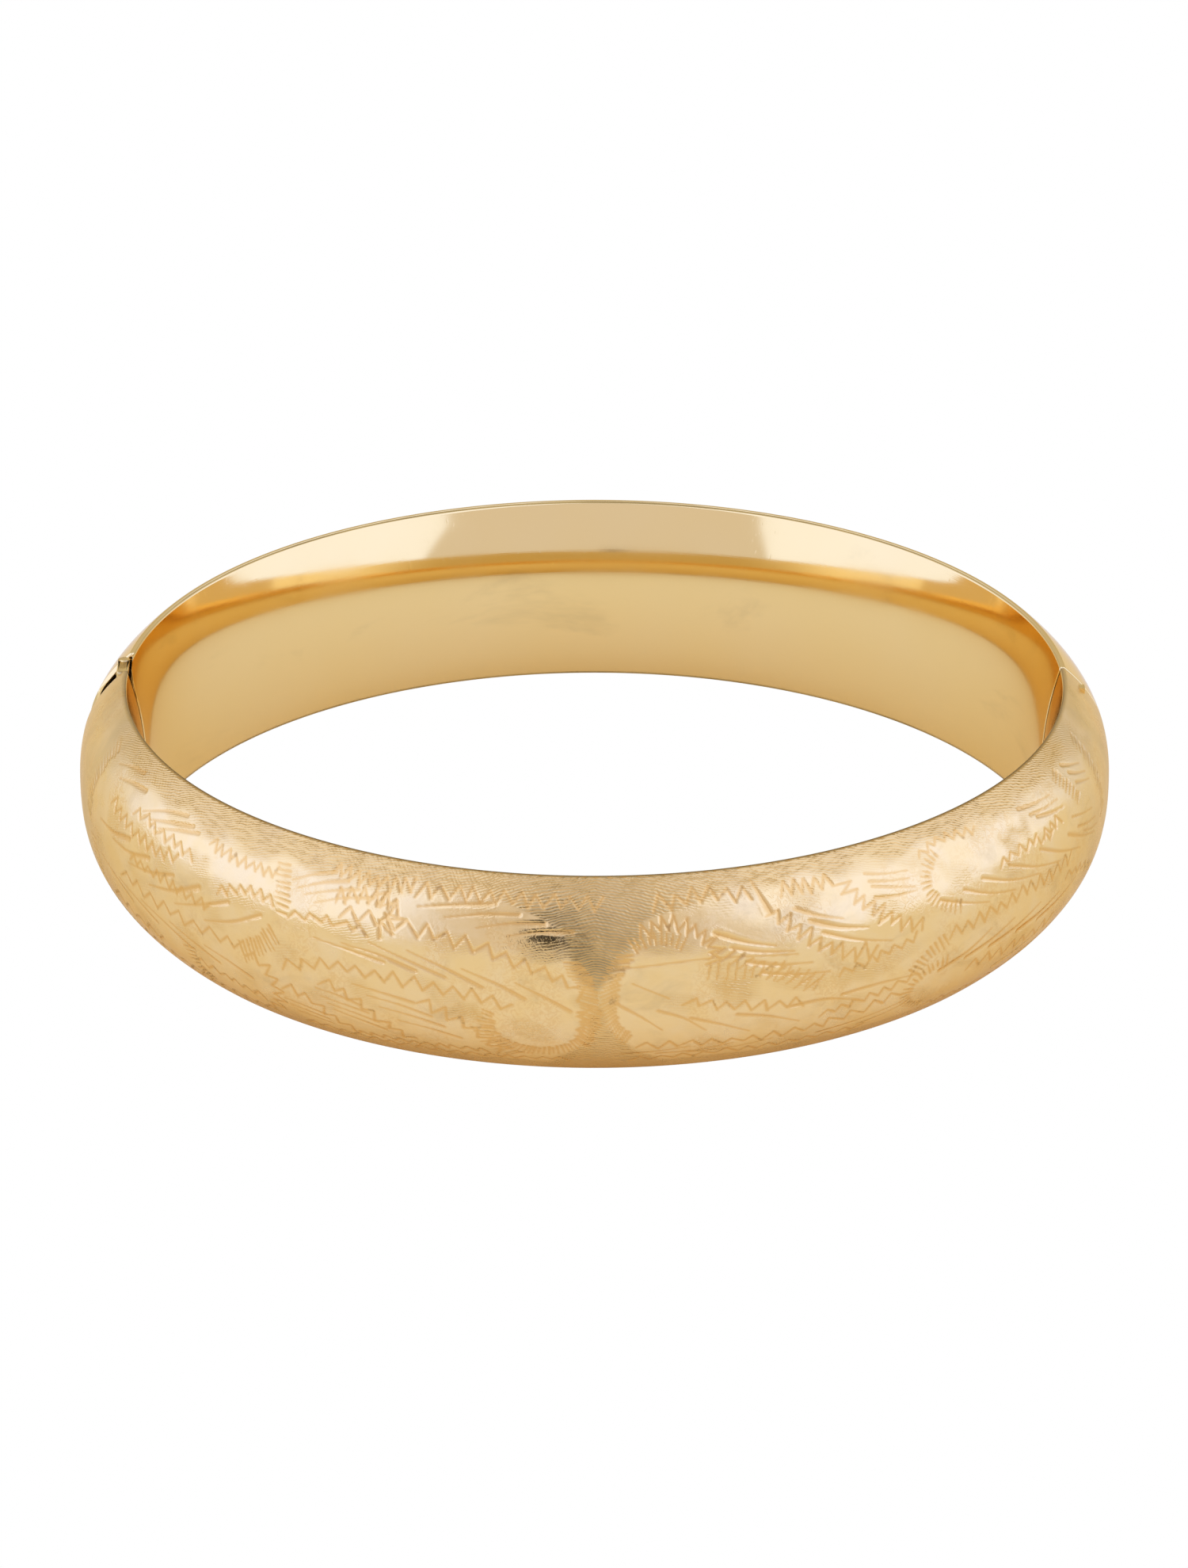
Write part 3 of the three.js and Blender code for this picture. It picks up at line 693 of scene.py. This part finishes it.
def engraved_gold(n):
    """Satin gold. The attributes cut, line and hatch say where the graver worked; a fourth marks the rims
    and the hidden side, which are darkened as painted shade.
    """
    place = n.position()
    layout = n.attribute("layout", "Vector")
    along, across, _ = n.add("ShaderNodeSeparateXYZ", {0: layout}).outputs
    cut, line, hatch, rim_and_inside_shade = (n.attribute(name) for name in ("cut", "line", "hatch", "rim_and_inside_shade"))
    rows, crosses = hatch_rows(n, place, layout)

    # relief: broken hatching, long scratches, satin grain and small pecks
    cuts = n.math("MULTIPLY", n.math("MULTIPLY_ADD", crosses, 0.35, rows), hatch)
    broken = n.smooth(n.noise(n.stretch(layout, (1.1, 4.5, 0.0)), 1.0, 3.0, 0.6), 0.38, 0.62)
    height = n.math("MULTIPLY", cuts, n.math("MULTIPLY_ADD", broken, 0.8, 0.2))
    normal = n.bump(height, 13 * MICRON)
    scratch = n.noise(n.stretch(place, (500, 500, 7000), (0, 0.3, 0.5)), 1.0, 3.0)
    normal = n.bump(scratch, 2.5 * MICRON, 1.0, normal)
    grain = n.noise(n.stretch(place, (2600, 2600, 3800)), 1.0, 4.0, 0.65)
    normal = n.bump(grain, 6 * MICRON, 1.0, normal)
    contour = n.math("ABSOLUTE", n.math("SUBTRACT", n.noise(place, 2300.0, 2.0, 0.5, 0.9), 0.5))
    picked = n.smooth(n.noise(place, 300.0, 3.0, 0.5), 0.46, 0.62)
    pecks = n.math("MULTIPLY", n.smooth(contour, 0.09, 0.0), picked)
    normal = n.bump(pecks, -4.5 * MICRON, 1.0, normal)

    # colour: mottled gold, deeper orange in the cuts, pecks and hatching as painted shade and reflection of
    # their grooves, painted shade between the middle sprays, darker where dirt stays
    mottle = n.noise(place, 420.0, 5.0, 0.6)
    colour = n.mix(n.smooth(mottle, 0.35, 0.7), ENGRAVED, ENGRAVED_PALE)
    colour = n.mix(n.math("MULTIPLY", pecks, 0.35), colour, GROOVE_SHADE)
    cloud = n.noise(n.stretch(place, (240, 240, 330)), 1.0, 5.0, 0.65, 0.6)
    colour = n.mix(n.smooth(cloud, 0.50, 0.78, 0.0, 0.55), colour, SMEAR)
    # painted shade: the hatched ground darker orange, and its fine grooves darker still further down
    colour = n.mix(n.math("MULTIPLY", hatch, 0.55), colour, HATCH_SHADE)
    # painted shade on the ground between the middle sprays
    colour = n.mix(shade_between_sprays(n, place, along, across, hatch), colour, SPRAYS_SHADE)
    # painted shade and reflection inside the cuts and the wriggled lines
    colour = n.mix(n.math("MULTIPLY", cut, 0.75), colour, GROOVE_SHADE)
    colour = n.mix(n.math("MULTIPLY", line, 0.85), colour, GROOVE_SHADE)
    groove = n.math("MULTIPLY", n.smooth(rows, -0.2, -1.0), n.math("MULTIPLY", hatch, 0.85))
    colour = n.mix(groove, colour, GROOVE_SHADE)
    dirt = n.math("MULTIPLY", n.smooth(n.noise(place, 1300.0, 3.0, 0.6), 0.58, 0.72),
                  n.math("MULTIPLY_ADD", line, 0.4, n.math("MULTIPLY", hatch, 0.12)))
    colour = n.mix(dirt, colour, TARNISH)
    # painted shade: the rims' flat tops and the hidden side darkened towards brown
    colour = n.mix(n.math("MULTIPLY", rim_and_inside_shade, 0.7), colour, TARNISH)

    # the plain stretches near hinge and clasp are duller and blotchy
    end = n.smooth(n.math("ABSOLUTE", along), 31.0, 39.0)
    blotch = n.smooth(n.noise(n.stretch(place, (420, 420, 110)), 1.0, 4.0, 0.6), 0.30, 0.70, 0.1, 0.6)
    colour = n.mix(n.math("MULTIPLY", end, blotch), colour, DULL)
    roughness = n.math("MULTIPLY_ADD", n.smooth(mottle, 0.3, 0.8), 0.14, 0.16)
    roughness = n.math("MULTIPLY_ADD", hatch, 0.10, roughness)
    roughness = n.math("MULTIPLY_ADD", end, 0.10, roughness)
    return colour, roughness, normal


# ---------------------------------------------------------------- shells and liners
FINE_ROWS, FINE_COLS = 1030, 172        # points along and across the engraved skin
PLAIN_ROWS, PLAIN_COLS = 360, 72
HIDDEN_COLS = 25
DENTS = ((0.010, 7.0, 21), (0.003, 2.2, 22), (0.0008, 0.9, 23))    # size, spacing and seed of the waves


def hidden_side(hinge_end, clasp_end, rows, front):
    """The inner face of an outer shell's sheet, with its lengths and depths along the oval."""
    v = np.linspace(-V_MAX, V_MAX, HIDDEN_COLS)
    radial, _ = dome_section(v, 0.0, SHEET)
    s = lengths_between(hinge_end, clasp_end, radial, rows, front)
    _, y, _, _ = Oval.at(s)
    r, z = dome_section(v[None, :], y, SHEET)
    return lay(s, r, z), s, y


def build_front_shell():
    """The engraved shell: the cuts and a slight waviness of the sheet are in its points."""
    v = np.linspace(-V_MAX, V_MAX, FINE_COLS)
    radial, _ = dome_section(v, 0.0)
    ends = FRONT_HINGE_END, CLASP_SEAM - SEAM_GAP
    s = lengths_between(*ends, radial, FINE_ROWS, True)
    _, y, _, _ = Oval.at(s)
    engraving = Engraving(s, v)
    leaves_left(engraving)
    leaves_right(engraving)
    ground(engraving)
    wave = 0
    for size, scale, seed in DENTS:
        wave = wave + size * waviness(s, v[None, :], scale, seed)
    rise = engraving.height() + wave * np.cos(v / V_MAX * math.pi / 2)
    tilt = np.interp(v, DOME_V, DOME_TILT)
    r, z = dome_section(v[None, :], y)
    skin = lay(s, r + rise * np.cos(tilt), z + rise * np.sin(tilt))
    shell = add_rims(skin, s, y, *hidden_side(*ends, FINE_ROWS, True), "front_shell")
    hidden = np.zeros((FINE_ROWS * (HIDDEN_COLS + 2), 1))
    frame_edges = lambda field: np.pad(field, ((0, 0), (1, 1)), mode="edge")
    for name, field in (("cut", engraving.cut), ("line", engraving.line), ("hatch", engraving.hatch)):
        point_attribute(shell, name, np.concatenate([frame_edges(field).reshape(-1, 1), hidden]))
    # the rims' flat tops and the hidden side are marked for painted shade
    rim_and_inside_shade = np.zeros((FINE_ROWS, FINE_COLS + 2))
    rim_and_inside_shade[:, [0, -1]] = 1
    point_attribute(shell, "rim_and_inside_shade", np.concatenate([rim_and_inside_shade.reshape(-1, 1), hidden + 1]))
    across = np.broadcast_to(v, s.shape)
    flow = across + 0.22 * np.abs(s) + 0.004 * s ** 2 + 0.15 * waviness(s, across, 9.0, 31)
    layout = np.stack([frame_edges(s), frame_edges(across), frame_edges(flow)], -1).reshape(-1, 3)
    point_attribute(shell, "layout", np.concatenate([layout, np.repeat(hidden, 3, 1)]), "FLOAT_VECTOR")
    return shell


def add_rims(skin, s, y, inner, s_in, y_in, name):
    """Adds the flat rim's inner edge to both skins, so that shell and liner meet there."""
    def edge(column, s_grid, y_grid, inset):
        s_edge = s_grid[:, column]
        half = half_width(y_grid[:, column])
        z = inset if column == 0 else 2 * half - inset
        r = np.full_like(s_edge, -RIM_IN + 0.01)
        return lay(s_edge, r, np.broadcast_to(z, s_edge.shape))[:, None]
    outside = np.concatenate([edge(0, s, y, 0.0), skin, edge(-1, s, y, 0.0)], 1)
    inside = np.concatenate([edge(0, s_in, y_in, SHEET), inner, edge(-1, s_in, y_in, SHEET)], 1)
    return sheet_object(name, outside, inside)


def build_back_shell():
    v = np.linspace(-V_MAX, V_MAX, PLAIN_COLS)
    radial, _ = dome_section(v, 0.0)
    ends = BACK_HINGE_END, CLASP_SEAM + SEAM_GAP
    s = lengths_between(*ends, radial, PLAIN_ROWS, False)
    _, y, _, _ = Oval.at(s)
    r, z = dome_section(v[None, :], y)
    return add_rims(lay(s, r, z), s, y, *hidden_side(*ends, PLAIN_ROWS, False), "back_shell")


def hinge_corner(q):
    """Where the back liner ends: close to the front one, and rounded back towards the hinge at the rims."""
    share = np.clip((np.abs(q) - CORNER_START) / (1 - CORNER_START), 0, 1)
    nearly_round = 0.999 * share ** 2
    return BACK_LINER_END + CORNER_RISE * (1 - np.sqrt(1 - nearly_round))


def build_liner(name, hinge_end, clasp_end, front):
    """A liner between two ends; hinge_end gives the end's y for each position across the width."""
    def skin(cols, inset):
        q = np.linspace(-1, 1, cols)
        radial, _ = crown_section(q, 0.0, inset)
        s = lengths_between(hinge_end(q), clasp_end, radial, PLAIN_ROWS, front)
        _, y, _, _ = Oval.at(s)
        r, z = crown_section(q[None, :], y, inset)
        return lay(s, r, z)[:, ::-1]
    return sheet_object(name, skin(64, 0.0), skin(17, SHEET))


def dress(obj, material, slot, body, *nodes):
    """Gives a piece its material and lets it ride its body in place of the CAD nodes; slot is not used."""
    obj.data.materials.clear()
    obj.data.materials.append(material)
    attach(obj, body)
    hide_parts(*nodes)


def ring_stack(name, rings):
    """A closed band of quads through rings of points with equal counts, the last joined to the first."""
    count = len(rings[0])
    points = np.concatenate(rings) * MM
    faces = []
    for k in range(len(rings)):
        after = (k + 1) % len(rings)
        for i in range(count):
            j = (i + 1) % count
            faces.append((k * count + i, k * count + j, after * count + j, after * count + i))
    return make_object(name, [tuple(p) for p in points], faces)


def build_ear(name, level, up):
    """A strip with a round end about the pin; its top edges are rounded and its bore is a little loose."""
    turn = np.linspace(0, 2 * math.pi, 65)[:-1]
    tail = PIN_Y - FRONT_HINGE_END - EAR_HALF - 0.05

    def outline(radius):
        x, y = radius * np.cos(turn), radius * np.sin(turn)
        return np.stack([PIN_X + x, PIN_Y + y - tail * (y < -1e-6)], 1)

    def level_ring(flat, depth):
        return np.column_stack([flat, np.full(len(flat), level - up * depth)])

    bore_radius = PIN_RADIUS + BORE_PLAY
    bore = np.stack([PIN_X + bore_radius * np.cos(turn), PIN_Y + bore_radius * np.sin(turn)], 1)
    steps = np.radians((0, 22, 45, 68, 90))
    rounded = [level_ring(outline(EAR_HALF - EAR_ROUNDING * (1 - math.sin(a))),
                          EAR_ROUNDING * (1 - math.cos(a))) for a in steps]
    rings = [level_ring(bore, EAR_DEPTH), level_ring(bore, 0.03), level_ring(bore, 0.0)] + rounded
    rings += [level_ring(outline(EAR_HALF), EAR_DEPTH)]
    return ring_stack(name, rings if up < 0 else rings[::-1])


def build_pin():
    """The pin, with slightly domed ends."""
    turn = np.linspace(0, 2 * math.pi, 49)[:-1]
    low, high = PIN_INSET, 2 * half_width(PIN_Y) - PIN_INSET
    middle, shoulder = 0.12, 0.24           # radii of the domed end's two steps
    profile = [(middle, low - 0.02), (shoulder, low), (PIN_RADIUS, low + 0.06),
               (PIN_RADIUS, high - 0.06), (shoulder, high), (middle, high + 0.02)]
    rings = [np.column_stack([PIN_X + r * np.cos(turn), PIN_Y + r * np.sin(turn), np.full(len(turn), z)])
             for r, z in profile]
    pin = ring_stack("pin", rings)
    mesh = bmesh.new()
    mesh.from_mesh(pin.data)
    mesh.verts.ensure_lookup_table()
    bore = [face for face in mesh.faces
            if all(math.hypot(v.co.x / MM - PIN_X, v.co.y / MM - PIN_Y) < middle + 0.01 for v in face.verts)]
    bmesh.ops.delete(mesh, geom=bore, context="FACES_ONLY")
    bmesh.ops.holes_fill(mesh, edges=[e for e in mesh.edges if e.is_boundary])
    bmesh.ops.recalc_face_normals(mesh, faces=mesh.faces)
    mesh.to_mesh(pin.data)
    mesh.free()
    return pin


polished = gold("polished_gold", polished_gold)
engraved = gold("engraved_gold", engraved_gold)
liner = gold("liner_gold", liner_gold)
joint = gold("joint_gold", joint_gold)
gap_shaded = gold("joint_gold_gap_shade", gap_shade_gold)
spring = gold("spring_gold", spring_gold)
dress(build_front_shell(), engraved, "engraved_gold", "front_half", "front_outer_shell")
dress(build_back_shell(), polished, "polished_gold", "back_half", "back_outer_shell")
dress(build_liner("front_liner", lambda q: FRONT_HINGE_END + 0 * q, CLASP_SEAM - SEAM_GAP, True),
      liner, "liner_gold", "front_half", "front_inner_liner")
dress(build_liner("back_liner", hinge_corner, CLASP_SEAM + SEAM_GAP, False),
      liner, "liner_gold", "back_half", "back_inner_liner")
dress(build_pin(), joint, "joint_gold", "front_half", "hinge_pin")
top_level = 2 * half_width(PIN_Y) - EAR_DROP
dress(build_ear("ear_top", top_level, 1), joint, "joint_gold", "front_half", "hinge_ear_top")
dress(build_ear("ear_bottom", EAR_DROP, -1), joint, "joint_gold", "front_half", "hinge_ear_bottom")
# the end caps, knuckle and clasp box get near-black painted shade; the spring parts keep their gold
inner_parts = {
    "front_hinge_end_cap": gap_shaded, "front_clasp_end_cap": gap_shaded, "back_hinge_end_cap": gap_shaded,
    "back_clasp_end_cap": gap_shaded, "back_hinge_knuckle": gap_shaded, "clasp_box": gap_shaded,
    "tongue_base_leaf": spring, "tongue_spring_leaf": spring, "thumb_piece": spring,
}
for name, material in inner_parts.items():
    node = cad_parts[name]
    node.data.materials.clear()
    node.data.materials.append(material)


# ---------------------------------------------------------------- stage and light
OPENING_LIGHT = (0.74, 0.73, 0.92)
ZENITH_LIGHT = (0.66, 0.67, 0.88)
SIDE_LIGHT = (1.06, 1.22, 2.05)
REAR_LIGHT = (0.60, 0.58, 0.60)
OPENING_HALF, SOFT_EDGE = math.radians(38.5), math.radians(1.0)


def white_floor():
    """A pale paper floor that glows a little; the camera itself sees it plain white."""
    size = 3.0
    floor = make_object("floor", [(-size, -size, 0), (size, -size, 0), (size, size, 0), (-size, size, 0)],
                        [(0, 1, 2, 3)], smooth=False)
    material = bpy.data.materials.new("floor")
    n = Nodes(material)
    is_camera = n.add("ShaderNodeLightPath").outputs["Is Camera Ray"]
    white = n.add("ShaderNodeEmission", {"Color": (1, 1, 1, 1), "Strength": 1.0}).outputs[0]
    paper = n.add("ShaderNodeBsdfDiffuse", {"Color": (0.78, 0.73, 0.58, 1)}).outputs[0]
    glow = n.add("ShaderNodeEmission", {"Color": (0.16, 0.15, 0.13, 1), "Strength": 1.0}).outputs[0]
    lit = n.add("ShaderNodeAddShader")
    n.tree.links.new(paper, lit.inputs[0])
    n.tree.links.new(glow, lit.inputs[1])
    mix = n.add("ShaderNodeMixShader", {0: is_camera})
    n.tree.links.new(lit.outputs[0], mix.inputs[1])
    n.tree.links.new(white, mix.inputs[2])
    output = n.add("ShaderNodeOutputMaterial")
    n.tree.links.new(mix.outputs[0], output.inputs["Surface"])
    floor.data.materials.append(material)


def studio_world():
    """A white tent: bright sides, a dim rear and a dimmer opening where the camera stands."""
    world = bpy.data.worlds.new("tent")
    bpy.context.scene.world = world
    n = Nodes(world)
    direction = n.add("ShaderNodeTexCoord").outputs["Generated"]
    split = n.add("ShaderNodeSeparateXYZ", {0: direction})
    x, y, z = split.outputs
    bearing = n.math("ARCTAN2", x, n.math("MULTIPLY", y, -1.0))
    azimuth = n.math("ABSOLUTE", bearing)
    height = n.math("ARCSINE", z)
    slant = n.math("MULTIPLY", height, n.smooth(bearing, -0.1, 0.1, 0.05, 0.28))
    side = n.smooth(n.math("ADD", azimuth, slant), OPENING_HALF - SOFT_EDGE, OPENING_HALF + SOFT_EDGE)
    opening = n.mix(n.smooth(height, math.radians(48), math.radians(75)), OPENING_LIGHT, ZENITH_LIGHT)
    sides = n.mix(n.smooth(azimuth, math.radians(95), math.radians(150)), SIDE_LIGHT, REAR_LIGHT)
    tent = n.mix(side, opening, sides)
    is_camera = n.add("ShaderNodeLightPath").outputs["Is Camera Ray"]
    colour = n.mix(is_camera, tent, (1.0, 1.0, 1.0))
    background = n.add("ShaderNodeBackground", {"Color": colour, "Strength": 1.0})
    output = n.add("ShaderNodeOutputWorld")
    n.tree.links.new(background.outputs[0], output.inputs["Surface"])


def dark_flag():
    """A small black disc close in front of the band, seen only as a dark spot in the polished dome."""
    turn = np.linspace(0, 2 * math.pi, 41)[:-1]
    x, y, z = -3.15 + 2.45 * np.cos(turn), np.full(len(turn), -34.7), 12.5 + 2.0 * np.sin(turn)
    points = np.column_stack([x, y, z]) * MM
    disc = make_object("flag", [tuple(p) for p in points], [tuple(range(len(turn)))], smooth=False)
    material = bpy.data.materials.new("flag")
    n = Nodes(material)
    black = n.add("ShaderNodeBsdfDiffuse", {"Color": (0.012, 0.012, 0.01, 1)}).outputs[0]
    output = n.add("ShaderNodeOutputMaterial")
    n.tree.links.new(black, output.inputs["Surface"])
    disc.data.materials.append(material)
    disc.visible_camera = False
    disc.visible_diffuse = False
    disc.visible_shadow = False


white_floor()
studio_world()
dark_flag()
bpy.context.scene.view_settings.view_transform = "Standard"
